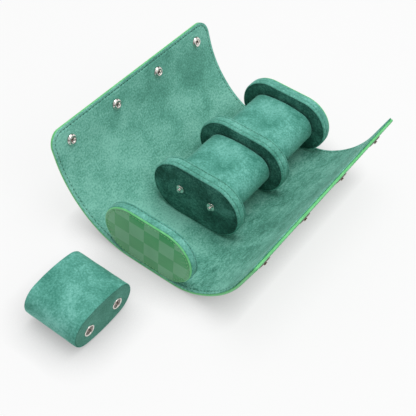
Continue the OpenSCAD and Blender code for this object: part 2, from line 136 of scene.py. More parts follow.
def lofted(columns, rows, place, pick):
    """A closed tube from a grid. For column i of row j, place(i, j) gives the point and its place on the flat
    cloth, and pick(i, j) the material of the face there."""
    bm = bmesh.new()
    flat = bm.verts.layers.float_vector.new("flat")
    bmesh.ops.create_grid(bm, x_segments=columns, y_segments=rows, size=0.5)

    def order(v):
        return round((v.co.y + 0.5) * rows), round((v.co.x + 0.5) * columns)

    for n, v in enumerate(sorted(bm.verts, key=order)):
        j, i = divmod(n, columns + 1)
        v.co, v[flat] = place(i % columns, j)
        v.index = n
    for f in bm.faces:
        j, i = divmod(min(v.index for v in f.verts), columns + 1)
        f.material_index = pick(i, j)
    bmesh.ops.remove_doubles(bm, verts=bm.verts, dist=1e-4)
    open_edges = [e for e in bm.edges if e.is_boundary]
    made = bmesh.ops.holes_fill(bm, edges=open_edges, sides=0)["faces"]
    for e in open_edges:
        e.smooth = False
    for f in made:
        near = [g for e in f.edges for g in e.link_faces if g is not f]
        f.material_index = near[0].material_index
    bmesh.ops.recalc_face_normals(bm, faces=bm.faces)
    return bm


def finished(name, bm, materials, slot):
    """Turns the bmesh into an object in metres."""
    bmesh.ops.scale(bm, vec=(MM, MM, MM), verts=bm.verts)
    for f in bm.faces:
        f.smooth = True
    mesh = bpy.data.meshes.new(name)
    bm.to_mesh(mesh)
    bm.free()
    obj = bpy.data.objects.new(name, mesh)
    bpy.context.scene.collection.objects.link(obj)
    for material in materials:
        mesh.materials.append(material)
    return obj


def axes(origin, along, normal):
    """A matrix at origin, with its X along and its Z normal."""
    m = Matrix((along, normal.cross(along), normal)).transposed().to_4x4()
    m.translation = origin
    return m


def spaced_round(outline, pitch):
    """Places about pitch apart round a closed outline, each with the outline's direction there. A place on a
    corner takes the direction after it."""
    on_corner = 1e-6
    closed = outline + outline[:1]
    lengths = [math.dist(*pair) for pair in zip(closed, closed[1:])]
    total = sum(lengths)
    count = round(total / pitch)
    places, i, gone = [], 0, 0.0
    for k in range(count):
        want = (k + 0.5) * total / count
        while gone + lengths[i] < want + on_corner:
            gone += lengths[i]
            i += 1
        (a0, b0), (a1, b1) = closed[i], closed[i + 1]
        share = (want - gone) / lengths[i]
        places.append((a0 + (a1 - a0) * share, b0 + (b1 - b0) * share, math.atan2(b1 - b0, a1 - a0)))
    return places


def add_stitch(bm, matrix, material, at, length, thick):
    """A short thread, sunk at both ends, with its place on the flat cloth."""
    flat = bm.verts.layers.float_vector["flat"]
    shape = matrix @ Matrix.Diagonal((length, thick, thick, 1.0))
    made = bmesh.ops.create_icosphere(bm, subdivisions=1, radius=0.5, matrix=shape)
    for v in made["verts"]:
        v[flat] = at
        for f in v.link_faces:
            f.material_index = material


# what the materials are made with


def linear(hexa):
    """An sRGB hex colour as linear RGBA."""
    parts = [int(hexa[i : i + 2], 16) / 255 for i in (1, 3, 5)]
    return (*(c / 12.92 if c <= 0.04045 else ((c + 0.055) / 1.055) ** 2.4 for c in parts), 1.0)


def grey(level):
    """A linear grey as RGBA."""
    return (level, level, level, 1.0)


def add(tree, kind, inputs=None, **settings):
    """Adds a node, sets its settings, and fills its inputs with values or links."""
    made = tree.nodes.new(kind)
    for key, value in settings.items():
        setattr(made, key, value)
    for key, value in (inputs or {}).items():
        if isinstance(value, bpy.types.NodeSocket):
            tree.links.new(value, made.inputs[key])
        else:
            made.inputs[key].default_value = value
    return made


def worked_out(tree, operation, *values):
    """The result of a sum on numbers or sockets."""
    return add(tree, "ShaderNodeMath", dict(enumerate(values)), operation=operation).outputs[0]


def ranged(tree, value, taken, given):
    """A value carried from one range to another, and held at the ends."""
    (low, high), (start, end) = taken, given
    inputs = {"Value": value, "From Min": low, "From Max": high, "To Min": start, "To Max": end}
    return add(tree, "ShaderNodeMapRange", inputs).outputs[0]


def mixed(tree, share, first, second):
    """A colour between two."""
    inputs = {"Factor": share, "A": first, "B": second}
    return add(tree, "ShaderNodeMix", inputs, data_type="RGBA").outputs["Result"]


def ramped(tree, value, *stops):
    """A colour from a ramp through stops of (place, colour)."""
    ramp = add(tree, "ShaderNodeValToRGB", {"Fac": value})
    elements = ramp.color_ramp.elements
    elements[0].position, elements[0].color = stops[0]
    elements[1].position, elements[1].color = stops[-1]
    for place, colour in stops[1:-1]:
        elements.new(place).color = colour
    return ramp.outputs["Color"]


def bumped(tree, height, strength, distance):
    """Normals of a surface raised by height."""
    inputs = {"Height": height, "Strength": strength, "Distance": distance}
    return add(tree, "ShaderNodeBump", inputs).outputs["Normal"]


def new_material(name):
    """A material and its empty node tree."""
    material = bpy.data.materials.new(name)
    material.use_nodes = True
    tree = material.node_tree
    tree.nodes.clear()
    return material, tree


def surface(tree, inputs):
    """Ends a material in one shader."""
    shader = add(tree, "ShaderNodeBsdfPrincipled", inputs)
    add(tree, "ShaderNodeOutputMaterial", {"Surface": shader.outputs[0]})


def flat_place(tree):
    """The place on the flat cloth or leather, in metres."""
    return add(tree, "ShaderNodeAttribute", attribute_name="flat").outputs["Vector"]


def object_place(tree):
    """The place on the object, in metres."""
    return add(tree, "ShaderNodeTexCoord").outputs["Object"]


# materials

CHECK = 15.2
CHECK_SHIFT = Vector((-3.0, -2.3, 5.0))


def handled_strokes(tree, at):
    """How strong the lining's brushed strokes are: the front side is handled more than the flap."""
    along = add(tree, "ShaderNodeSeparateXYZ", {"Vector": at})
    return ranged(tree, along.outputs["Y"], (-35.0 * MM, -5.0 * MM), (0.62, 0.2))


def painted_flap_light(tree, at, tone):
    """Painted light: the lining's colour is lifted where the flap rises, and most towards the flap's near
    end, standing in for light that falls on the flap.
    """
    along = add(tree, "ShaderNodeSeparateXYZ", {"Vector": at})
    up_flap = ranged(tree, along.outputs["Y"], (-0.06, 0.15), (0.0, 1.0))
    painted_lift = ramped(tree, up_flap, (0.0, grey(0.0)), (0.3, grey(0.11)), (0.5, grey(0.08)), (0.85, grey(0.0)))
    near_end = ranged(tree, along.outputs["X"], (-0.106, 0.02), (1.0, 0.0))
    on_flap = ranged(tree, along.outputs["Y"], (0.02, 0.11), (0.0, 0.11))
    return worked_out(tree, "MULTIPLY_ADD", near_end, on_flap, worked_out(tree, "ADD", tone, painted_lift))


def microsuede(name, dark, middle, light, size=1.0, patchy=0.5, sheen=0.25, lining=False):
    """Microsuede: a short brushed nap. Patches of nap lying other ways give soft lighter and darker clouds,
    brushing gives strokes, the fibre ends a fine grain, and the nap a pale bloom where the surface turns
    away."""
    material, tree = new_material(name)
    at = flat_place(tree)
    clouds = add(
        tree,
        "ShaderNodeTexNoise",
        {"Vector": at, "Scale": 34.0 / size, "Detail": 3.0, "Roughness": 0.5, "Distortion": 0.4},
    )
    slanted = add(
        tree, "ShaderNodeMapping", {"Vector": at, "Scale": (1.0, 1.9, 1.5), "Rotation": (0.0, 0.0, 0.5)}
    )
    strokes = add(
        tree,
        "ShaderNodeTexNoise",
        {
            "Vector": slanted.outputs[0],
            "Scale": 130.0 / size,
            "Detail": 4.0,
            "Roughness": 0.65,
            "Distortion": 0.8,
        },
    )
    grain = add(tree, "ShaderNodeTexNoise", {"Vector": at, "Scale": 620.0, "Detail": 2.0, "Roughness": 0.6})
    stroke_share = handled_strokes(tree, at) if lining else 0.28
    tone = 0.5
    for pattern, share in ((clouds, patchy), (strokes, stroke_share), (grain, 0.55)):
        off_middle = worked_out(tree, "SUBTRACT", pattern.outputs["Fac"], 0.5)
        tone = worked_out(tree, "MULTIPLY_ADD", off_middle, share, tone)
    # the lining's flap and its near end get painted light
    if lining:
        tone = painted_flap_light(tree, at, tone)
    colours = ((0.32, linear(dark)), (0.5, linear(middle)), (0.68, linear(light)))
    surface(
        tree,
        {
            "Base Color": ramped(tree, tone, *colours),
            "Roughness": 0.92,
            "Specular IOR Level": 0.12,
            "Sheen Weight": sheen,
            "Sheen Roughness": 0.45,
            "Sheen Tint": linear("#bfe6d8"),
            "Normal": bumped(tree, grain.outputs["Fac"], 0.35, 0.0004),
        },
    )
    return material


def checked_leather(name):
    """Coated split leather, embossed with a fine grain and printed with a tonal check: matte squares scatter
    pale, glossy ones stay deep green."""
    material, tree = new_material(name)
    at = flat_place(tree)
    shifted = add(tree, "ShaderNodeMapping", {"Vector": at, "Location": CHECK_SHIFT * MM})
    checks = add(
        tree,
        "ShaderNodeTexChecker",
        {"Vector": shifted.outputs[0], "Scale": 1 / (CHECK * MM), "Color1": grey(1.0), "Color2": grey(0.0)},
    ).outputs["Fac"]
    wear = add(tree, "ShaderNodeTexNoise", {"Vector": at, "Scale": 60.0, "Detail": 3.0}).outputs["Fac"]
    grain = add(tree, "ShaderNodeTexVoronoi", {"Vector": at, "Scale": 1100.0}).outputs["Distance"]
    deep = mixed(tree, wear, linear("#26874a"), linear("#3b995c"))
    pale = mixed(tree, wear, linear("#52956a"), linear("#6cab81"))
    surface(
        tree,
        {
            "Base Color": mixed(tree, checks, deep, pale),
            "Roughness": ranged(tree, checks, (0.0, 1.0), (0.34, 0.5)),
            "Specular IOR Level": 0.5,
            "Normal": bumped(tree, grain, 0.12, 0.0002),
        },
    )
    return material


def edge_paint(name):
    """Edge paint: a thick lime green acrylic bead brushed on and dried glossy, slightly uneven."""
    material, tree = new_material(name)
    at = object_place(tree)
    uneven = add(tree, "ShaderNodeTexNoise", {"Vector": at, "Scale": 220.0, "Detail": 2.0}).outputs["Fac"]
    surface(
        tree,
        {
            "Base Color": mixed(tree, uneven, linear("#46ab5f"), linear("#79cf8b")),
            "Roughness": 0.35,
            "Normal": bumped(tree, uneven, 0.25, 0.0003),
        },
    )
    return material


def thread(name, colour):
    """Bonded polyester sewing thread: twisted, so it has fine slanting ridges and a soft shine."""
    material, tree = new_material(name)
    at = object_place(tree)
    twist = add(tree, "ShaderNodeTexWave", {"Vector": at, "Scale": 700.0, "Distortion": 1.0})
    surface(
        tree,
        {
            "Base Color": linear(colour),
            "Roughness": 0.6,
            "Normal": bumped(tree, twist.outputs["Fac"], 0.4, 0.0001),
        },
    )
    return material


def nickel(name, colour, haze):
    """Pressed steel plated with nickel: mirror-like, faintly warm, with light handling haze."""
    material, tree = new_material(name)
    at = object_place(tree)
    handled = add(tree, "ShaderNodeTexNoise", {"Vector": at, "Scale": 500.0, "Detail": 2.0}).outputs["Fac"]
    roughness = ranged(tree, handled, (0.0, 1.0), haze)
    surface(tree, {"Base Color": linear(colour), "Metallic": 1.0, "Roughness": roughness})
    return material


def plain_filling(name, colour, scale):
    """Grey board or pressed fibre: dull and finely mottled. It is hidden inside."""
    material, tree = new_material(name)
    at = object_place(tree)
    fibre = add(tree, "ShaderNodeTexNoise", {"Vector": at, "Scale": scale, "Detail": 4.0}).outputs["Fac"]
    shade = mixed(tree, fibre, linear(colour), linear("#b9b3a4"))
    surface(tree, {"Base Color": shade, "Roughness": 0.95})
    return material


LINING = microsuede("lining_microsuede", "#3f7b6a", "#5b9d8b", "#80bfae", lining=True)
RIM = microsuede("rim_microsuede", "#3f7f6f", "#5a9d8d", "#76b8aa", size=0.5)
# a darker copy of the microsuede: painted shade on the near faces of the dividers and of the far cap, which
# face away from the light
SHADED = microsuede(
    "painted_shade_microsuede", "#1a453b", "#2f6458", "#4f897c", size=0.6, patchy=0.65, sheen=0.1
)
PILLOW = microsuede("pillow_microsuede", "#3a7d6d", "#539889", "#72b5a8", size=0.8, patchy=0.7)
PILLOW_END = microsuede("pillow_end_microsuede", "#38705f", "#477f70", "#5a9585", size=0.7, sheen=0.15)
LEATHER = checked_leather("checked_coated_leather")
PAINT = edge_paint("lime_edge_paint")
DARK_THREAD = thread("dark_green_thread", "#1f5d4b")
LEATHER_THREAD = thread("pale_green_thread", "#7fc38a")
NICKEL = nickel("bright_nickel", "#dcd8d2", (0.1, 0.28))
# the same metal, darker, browner and rougher: the bores of the sockets, and the plates of the front's studs,
# where the darkness is a painted dark reflection
BORE = nickel("darkened_nickel", "#74665f", (0.25, 0.45))
BOARD = plain_filling("grey_board", "#8d8a80", 300.0)
FIBRE = plain_filling("pressed_fibre", "#d8d2bf", 500.0)

# the wrap

STITCH_PITCH, STITCH_IN = 4.0, 3.0
STITCH_L, STITCH_T = 2.7, 0.75
ROW_PITCH = 1.3
TOP, BELOW = 90.0, -90.0
ROUND_EDGE = (60.0, 30.0, 0.0, -30.0, -60.0)
LAST_PAINTED = -30.0
# a stitch nearer to the floor than this would poke through it
CLEAR_OF_FLOOR = 0.4
# how far to either side of a fold the places before and after it are taken, and how far from a strip's ends
# they stay
BEND_REACH, BEND_MARGIN = 16.0, 0.4


def seam_places(inset, pitch):
    """Stitch places round the wrap's outline, laid flat: (x, s, direction)."""
    outline = []
    for (cx, cs), start in (((1, 1), 0), ((-1, 1), 90), ((-1, -1), 180), ((1, -1), 270)):
        r = max((FLAP_CORNER if cs > 0 else FRONT_CORNER) - inset, 0.5)
        for turn in range(0, 91, 5):
            t = math.radians(start + turn)
            x = cx * (EDGE_X - inset - r) + r * math.cos(t)
            outline.append((x, WRAP_MIDDLE + cs * (WRAP_HALF - inset - r) + r * math.sin(t)))
    return spaced_round(outline, pitch)


def wrap_frame(x, s, direction, depth, up):
    """Axes on the wrap: X along direction, Z out of the lining, or out of the leather where up is -1."""
    step = 0.5
    here = on_wrap(x, s, depth)
    ahead = on_wrap(x + step * math.cos(direction), s + step * math.sin(direction), depth)
    above = on_wrap(x, s, depth - 1.0)
    return axes(here, (ahead - here).normalized(), ((above - here) * up).normalized())


def spread(dense, start, end, pitch):
    """Distances from both ends at the places in dense, and about pitch apart between."""
    first, last = start + dense[-1], end - dense[-1]
    count = max(1, round((last - first) / pitch))
    middle = [first + (last - first) * i / count for i in range(count + 1)]
    return [start + d for d in dense[:-1]] + middle + [end - d for d in reversed(dense[:-1])]


def lining_relief(x, s):
    """How far the suede stands proud: a stitched border, and the soft cockling of cloth glued over padding.
    The flap has a short crease at its near edge."""
    b = from_edge(x, s)
    h = 0.15 * bell(b, 1.6, 0.8) + 0.18 * bell(b, 4.3, 0.8) - 0.55 * bell(b, STITCH_IN, 0.6)
    calm = rising(b, 4.0, 10.0)
    h += calm * 0.28 * soft_noise(x, s * 1.5, 0, 24.0, 3.1)
    if s < 0:
        h += calm * 0.2 * soft_noise(x * 0.45, s, 0, 7.5, 8.3) * rising(-s, 26.0, 16.0)
    else:
        h += calm * 0.08 * soft_noise(x * 0.6, s, 0, 9.0, 5.7) * rising(s, 0.0, 20.0)
        h -= 0.3 * bell(s, 112.0, 0.7) * rising(-x, 92.0, 8.0)
    return h


EDGE_STEPS = [0.0, 0.35, 0.8, 1.3, 1.9, 2.4, 2.75, 3.0, 3.25, 3.6, 4.2, 5.2, 6.6]
LIP_STEPS = [0.0, 0.08, 0.25, 0.5] + EDGE_STEPS[2:] + [8.0]
LINING_LAYER = {
    "top": 0.0,
    "thick": LINING_T,
    "columns": spread(EDGE_STEPS, -EDGE_X, EDGE_X, 1.7),
    "relief": lining_relief,
    "stitch_depth": 0.42,
    "up": 1,
    "materials": [LINING, DARK_THREAD],
    "slot": "lining_suede",
}
LEATHER_LAYER = {
    "top": LINING_T,
    "thick": WRAP_T - LINING_T,
    "columns": spread([0.0, 1.0, 2.0, 2.6, 3.0, 3.4, 4.2, 6.0], -EDGE_X, EDGE_X, 2.2),
    "relief": None,
    "stitch_depth": WRAP_T - 0.1,
    "up": -1,
    "materials": [LEATHER, PAINT, LEATHER_THREAD],
    "slot": "leather",
}
SEAM_PLACES = seam_places(STITCH_IN, STITCH_PITCH)


def wrap_section(columns):
    """The section of a layer, as (place across, rounding angle): over the top, round one edge, back below."""
    over = [(x, TOP) for x in columns]
    right = [(EDGE_X, angle) for angle in ROUND_EDGE]
    back = [(x, BELOW) for x in reversed(columns)]
    left = [(-EDGE_X, angle) for angle in reversed(ROUND_EDGE)]
    return over + right + back + left


def strip_rows(length, has_lip):
    """Distances of a strip's rows from its start, close together where it ends in a lip."""
    if not has_lip:
        return spread([0.0], 0.0, length, ROW_PITCH)
    inner = spread([0.0], 0.0, length - LIP_STEPS[-1], ROW_PITCH)
    return inner + [length - d for d in reversed(LIP_STEPS[:-1])]


def wrap_strip(name, s0, s1, layer, bodies, fold, nodes):
    """One strip of a layer of the wrap between two lines across it, over one fold."""
    sign, tip, corner = (1, FLAP_L, FLAP_CORNER) if s1 > 0 else (-1, -FRONT_L, FRONT_CORNER)
    has_lip = abs(s1 - tip) < 0.01
    length = abs(s1 - s0)
    rows = strip_rows(length, has_lip)
    section = wrap_section(layer["columns"])
    half_t = layer["thick"] / 2
    materials = layer["materials"]

    def place(i, j):
        x, angle = section[i]
        t = math.radians(angle)
        s = s0 + sign * rows[j]
        from_tip = abs(tip - s)
        edge = half_width(from_tip, corner)
        if abs(angle) < TOP:
            x = math.copysign(edge - half_t * (1 - math.cos(t)), x)
        else:
            x = max(half_t - edge, min(edge - half_t, x * edge / EDGE_X))
        rounded = math.sqrt(max(1 - (1 - min(from_tip / half_t, 1.0)) ** 2, 0.0))
        depth = layer["top"] + half_t - math.sin(t) * half_t * rounded
        if angle == TOP and layer["relief"]:
            depth -= layer["relief"](x, s) * rounded
        return on_wrap(x, s, depth), (x * MM, s * MM, 0.0)

    def pick(i, j):
        """The leather is painted round its edges, down to just under their middle, and over its lip."""
        if PAINT not in materials:
            return 0
        lower = min(section[i][1], section[(i + 1) % len(section)][1])
        painted_lip = half_t if lower == TOP else 0.3
        on_lip = has_lip and rows[j] > length - painted_lip
        return materials.index(PAINT) if on_lip or LAST_PAINTED <= lower < TOP else 0

    bm = lofted(len(section), len(rows) - 1, place, pick)
    low, high = sorted((s0, s1))
    for x, s, direction in SEAM_PLACES:
        if low <= s < high:
            m = wrap_frame(x, s, direction, layer["stitch_depth"], layer["up"])
            if m.translation.z > CLEAR_OF_FLOOR:
                add_stitch(bm, m, len(materials) - 1, (x * MM, s * MM, 0.0), STITCH_L, STITCH_T)
    obj = finished(name, bm, materials, layer["slot"])
    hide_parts(*nodes)
    before = fold - sign * min(abs(fold - s0) - BEND_MARGIN, BEND_REACH)
    after = fold + sign * min(abs(s1 - fold) - BEND_MARGIN, BEND_REACH)
    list(bodies)
    on_wrap(0, before, 0) * MM
    on_wrap(0, after, 0) * MM
    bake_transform(obj)


def wrap_side(side, folds, length, sign):
    """Lining and leather of one side, in four strips, each over one fold."""
    cuts = [0.0] + [(a + b) / 2 for a, b in zip(folds, folds[1:])] + [length]
    bodies = ["wrap_base"] + [f"{side}_panel_{i}" for i in (1, 2, 3, 4)]
    for i in range(4):
        pair = (bodies[i], bodies[i + 1])
        span = (sign * cuts[i], sign * cuts[i + 1])
        fold = sign * folds[i]
        lined = [f"{body}_lining" for body in pair]
        backed = [f"{body}_{part}" for body in pair for part in ("leather", "padding")]
        wrap_strip(f"{side}_lining_{i + 1}", *span, LINING_LAYER, pair, fold, lined)
        wrap_strip(f"{side}_leather_{i + 1}", *span, LEATHER_LAYER, pair, fold, backed)


wrap_side("front", FRONT_FOLDS, FRONT_L, -1)
wrap_side("flap", FLAP_FOLDS, FLAP_L, 1)

# dividers and caps

ROUND_STEPS, STRAIGHT_STEPS = 72, 14
OVAL_STEPS = 2 * (ROUND_STEPS + STRAIGHT_STEPS)
OVAL_SHIFT = (STACK_W - STACK_H) / 2
# inset of the ring in the middle of a face
CORE = STACK_H / 2 - 0.3
SUEDE_PITCH, CAP_PITCH = 3.4, 3.2
SMALL_STITCH_L, SMALL_STITCH_T = 2.2, 0.6
# pleats that would fit round a full turn of a cap's round ends
PLEATS = 34


def stadium(i, inset):
    """Point i of the oval outline, drawn in by inset: (y, z) about its middle."""
    half_turn, i = divmod(i, ROUND_STEPS + STRAIGHT_STEPS)
    sign = -1 if half_turn else 1
    r = STACK_H / 2 - inset
    if i < ROUND_STEPS:
        t = math.pi * (i / ROUND_STEPS - 0.5)
        return sign * (OVAL_SHIFT + r * math.cos(t)), sign * r * math.sin(t)
    return sign * OVAL_SHIFT * (1 - 2 * (i - ROUND_STEPS) / STRAIGHT_STEPS), sign * r


def oval_solid(name, profile, pick, materials, slot, nodes, relief, stitches):
    """A closed oval from a profile of (x, inset), run from one face's middle over the rim to the other's.
    Each row of stitches is (x, inset, pitch, facing), where facing is 0 on the rim."""

    def place(i, j):
        x, inset = profile[j]
        dx, dr = relief(*stadium(i, inset), x, inset, j)
        y, z = stadium(i, inset - dr)
        return Vector((x + dx, y, MID_Z + z)), (y * MM, (MID_Z + z) * MM, (x + dx) * MM)

    bm = lofted(OVAL_STEPS, len(profile) - 1, place, lambda i, j: pick(j))
    for x, inset, pitch, facing in stitches:
        ring = [stadium(k, inset) for k in range(OVAL_STEPS)]
        for y, z, direction in spaced_round(ring, pitch):
            along = Vector((0, math.cos(direction), math.sin(direction)))
            normal = Vector((facing, 0, 0)) if facing else Vector((0, along.z, -along.y))
            m = axes(Vector((x, y, MID_Z + z)), along, normal)
            at = (y * MM, (MID_Z + z) * MM, x * MM)
            add_stitch(bm, m, len(materials) - 1, at, SMALL_STITCH_L, SMALL_STITCH_T)
    obj = finished(name, bm, materials, slot)
    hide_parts(*nodes)
    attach(obj, "wrap_base")


def stretch(x, pairs):
    """A stretch of a profile, given as (step from x, inset)."""
    return [(x + step, inset) for step, inset in pairs]


def face_rings(x, outwards):
    """A flat face from its middle out to where its edge starts to turn, with a stitched groove near there."""
    level = [(x, inset) for inset in (CORE, 24.0, 20.0, 16.0, 12.0, 9.0, 7.0, 5.2, 4.0, 3.2, 2.7)]
    return level + stretch(x, ((-0.2 * outwards, 2.35), (-0.4 * outwards, 2.1), (-0.2 * outwards, 1.85)))


def seam_groove(step):
    """The groove of a seam round a divider."""
    return (
        (step - 0.3, 0.3), (step - 0.1, 0.75), (step, 0.85), (step + 0.1, 0.75), (step + 0.3, 0.3),
    )


def suede_relief(y, z, x, inset, j):
    """Slight unevenness of the cloth on its faces and round its rim."""
    uneven = soft_noise(y, z, x, 9.0, 1.7) * 0.12
    return (uneven if inset > 3 else 0.0), (uneven if inset < 1.5 else 0.0)


def divider(letter, x):
    """Two boards back to back in suede: two faces turned over the edge and a band between them."""
    near_edge = (
        (0.0, 1.6), (-0.05, 1.15), (0.12, 0.7), (0.6, 0.2), (1.3, -0.12), (2.0, -0.15), (2.7, -0.02),
    )
    band = ((4.3, 0.0), (5.4, -0.12), (6.6, -0.15), (7.8, -0.1), (8.7, 0.02))
    far_edge = (
        (10.0, 0.02), (10.4, -0.05), (10.75, 0.25), (10.85, 0.8), (10.6, 1.4), (DIVIDER_T + 0.2, 2.0),
    )
    near_seam, far_seam = 3.4, 9.4
    near_face = face_rings(x, -1)
    far_face = face_rings(x + DIVIDER_T, 1)[::-1]
    rim = near_edge + seam_groove(near_seam) + band + seam_groove(far_seam) + far_edge
    stitches = [
        (x + 0.25, 2.1, SUEDE_PITCH, 1.0),
        (x + DIVIDER_T - 0.25, 2.1, SUEDE_PITCH, -1.0),
        (x + near_seam, 0.6, SUEDE_PITCH, 0.0),
        (x + far_seam, 0.6, SUEDE_PITCH, 0.0),
    ]
    oval_solid(
        f"divider_{letter}_cover",
        near_face + stretch(x, rim) + far_face[1:],
        # the near face is in the darker copy of the suede: painted shade
        lambda j: 1 if j <= len(near_face) else 0,
        [RIM, SHADED, DARK_THREAD],
        "stack_suede",
        [f"divider_{letter}_near_suede", f"divider_{letter}_far_suede"],
        suede_relief,
        stitches,
    )


divider("a", DIVIDER_A_FACE)
divider("b", DIVIDER_B_FACE)


def cap_leather(name, x, outwards, node):
    """The leather face of a cap: gently padded, with small pleats round its ends and its edge painted."""
    rings = (
        CORE, 24.0, 20.0, 16.0, 12.5, 10.2, 8.4, 7.0, 5.9, 5.0, 4.4, 3.9, 3.6, 3.35, 3.1, 2.85, 2.5, 2.0,
    )
    stitch_in = 3.35
    face = []
    for inset in rings:
        crown = 0.7 * (1 - math.exp(-inset / 5.0))
        face.append((crown - 0.4 * bell(inset, stitch_in, 0.4), inset))
    edge = [(0.25, 1.6), (0.2, 1.2), (-0.02, 0.8), (-0.35, 0.55), (-0.8, 0.5)]
    edge += [(0.1 - CAP_LEATHER_T, 0.6), (-CAP_LEATHER_T, 0.9), (-CAP_LEATHER_T, CORE)]
    profile = [(x + outwards * rise, inset) for rise, inset in face + edge]
    first_painted, back = len(rings) + 1, len(profile) - 2

    def relief(y, z, px, inset, j):
        past = abs(y) - OVAL_SHIFT
        end = max(0.0, past / (STACK_H / 2))
        angle = math.degrees(math.atan2(z, past)) if end > 0 else 90.0
        uneven = 2.4 * soft_noise(angle, 0, 0, 22.0, 4.0 + math.copysign(1, y))
        ripple = math.sin(math.radians(angle * PLEATS) + uneven)
        reach = bell(inset, 4.0, 3.4) if inset < 14 and j < first_painted else 0.0
        crease = 0.16 * ripple * reach * min(1.0, end * 1.6)
        return outwards * (crease + 0.1 * soft_noise(y, z, 0, 14.0, 6.6) * (inset > 4)), 0.0

    oval_solid(
        name,
        profile,
        lambda j: 1 if first_painted <= j < back else 0,
        [LEATHER, PAINT, LEATHER_THREAD],
        "leather",
        [node],
        relief,
        [(x + outwards * 0.15, stitch_in, CAP_PITCH, outwards)],
    )


def near_cap_suede():
    """The suede of the near cap: its rim behind the leather, a piped seam, and the face towards the bay."""
    x = CAP_LEATHER_T - EDGE_X
    seam = 5.8
    rim = (
        (0.02, CORE), (0.02, 0.7), (0.15, 0.3), (0.5, 0.05), (2.0, -0.1), (3.6, -0.1), (5.1, 0.05),
        (5.5, 0.4), (5.7, 0.75), (seam, 0.85), (5.9, 0.75), (6.1, 0.3), (6.5, 0.02), (6.9, -0.02),
        (7.2, 0.3), (7.3, 0.8), (7.0, 1.4),
    )
    face = face_rings(NEAR_CAP_FACE, 1)[::-1]
    oval_solid(
        "near_cap_cover",
        stretch(x, rim) + [(NEAR_CAP_FACE + 0.2, 2.0)] + face[1:],
        lambda j: 0,
        [RIM, DARK_THREAD],
        "stack_suede",
        ["near_cap_suede"],
        suede_relief,
        [(x + seam, 0.6, SUEDE_PITCH, 0.0), (NEAR_CAP_FACE - 0.25, 2.1, SUEDE_PITCH, -1.0)],
    )


def far_cap_suede():
    """The suede of the far cap: its face towards the bay, turned over the edge, and the rim behind it."""
    x = FAR_CAP_FACE
    seam = 3.2
    face = face_rings(x, -1)
    rim = (
        (0.0, 1.5), (-0.05, 1.0), (0.12, 0.5), (0.6, 0.1), (1.2, -0.08), (2.2, -0.05), (2.8, 0.05),
        (3.05, 0.3), (seam, 0.4), (3.35, 0.3), (3.6, 0.02), (5.0, -0.12), (7.4, -0.1),
    )
    behind = stretch(EDGE_X - CAP_LEATHER_T, ((-0.5, 0.05), (-0.15, 0.3), (-0.02, 0.7), (-0.02, CORE)))
    oval_solid(
        "far_cap_cover",
        face + stretch(x, rim) + behind,
        # the face towards the bay is in the darker copy of the suede: painted shade
        lambda j: 1 if j <= len(face) else 0,
        [RIM, SHADED, DARK_THREAD],
        "stack_suede",
        ["far_cap_suede"],
        suede_relief,
        [(x + 0.25, 2.1, SUEDE_PITCH, 1.0), (x + seam, 0.45, SUEDE_PITCH, 0.0)],
    )


cap_leather("near_cap_face", -EDGE_X, -1, "near_cap_leather")
near_cap_suede()
far_cap_suede()
cap_leather("far_cap_face", EDGE_X, 1, "far_cap_leather")

# pillows

PILLOW_W, PILLOW_H, PILLOW_L = 67.0, 37.2, 52.0
HALF_W, HALF_H, HALF_L = PILLOW_W / 2, PILLOW_H / 2, PILLOW_L / 2
# radii of the section's sides, and of its crowns above and below, which meet the sides smoothly
SIDE_R = 17.0
CROWN_R = ((HALF_W - SIDE_R) ** 2 + HALF_H**2 - SIDE_R**2) / (2 * (HALF_H - SIDE_R))
SNAP_GAP, SNAP_RISE = 32.4, 2.0
BORE_R, HELD_R = 2.6, 6.5
AROUND = 112
# room inside the outline for the swell, and the most that a point may swell
SWELL_ROOM, SWELL_CAP = 0.75, 1.0
SWELL_FRAMES = 20
# gap between a pillow and the face that it is snapped on to, and where the loose one lies
STAND_OFF = 1.5
LOOSE_GAP, LOOSE_Y = 33.8, 14.4


def pillow_outline(i, inset):
    """Point i of the pillow's section, which is crowned above and below: (y, z)."""
    meet = math.atan2(CROWN_R - HALF_H, HALF_W - SIDE_R)
    side_l, crown_l = 2 * meet * SIDE_R, (math.pi - 2 * meet) * CROWN_R
    half_turn, i = divmod(i, AROUND // 2)
    sign = -1 if half_turn else 1
    d = (i / AROUND) * 2 * (side_l + crown_l)
    if d <= side_l:
        t, r, middle_y, middle_z = d / SIDE_R - meet, SIDE_R - inset, HALF_W - SIDE_R, 0.0
    else:
        t, r, middle_y, middle_z = meet + (d - side_l) / CROWN_R, CROWN_R - inset, 0.0, HALF_H - CROWN_R
    return sign * (middle_y + r * math.cos(t)), sign * (middle_z + r * math.sin(t))


def off_socket(co):
    """Distance of a point of either end of the pillow from the axis of the nearer snap."""
    if abs(co.x) < HALF_L - 1.0:
        return math.inf
    return math.hypot(abs(co.y) - SNAP_GAP / 2, co.z - SNAP_RISE)


def inset_of(co):
    """Rough distance of a point of the pillow inwards from its section's outline."""
    if abs(co.y) > HALF_W - SIDE_R:
        return SIDE_R - math.hypot(abs(co.y) - (HALF_W - SIDE_R), co.z) - SWELL_ROOM
    return CROWN_R - math.hypot(co.y, abs(co.z) + CROWN_R - HALF_H) - SWELL_ROOM


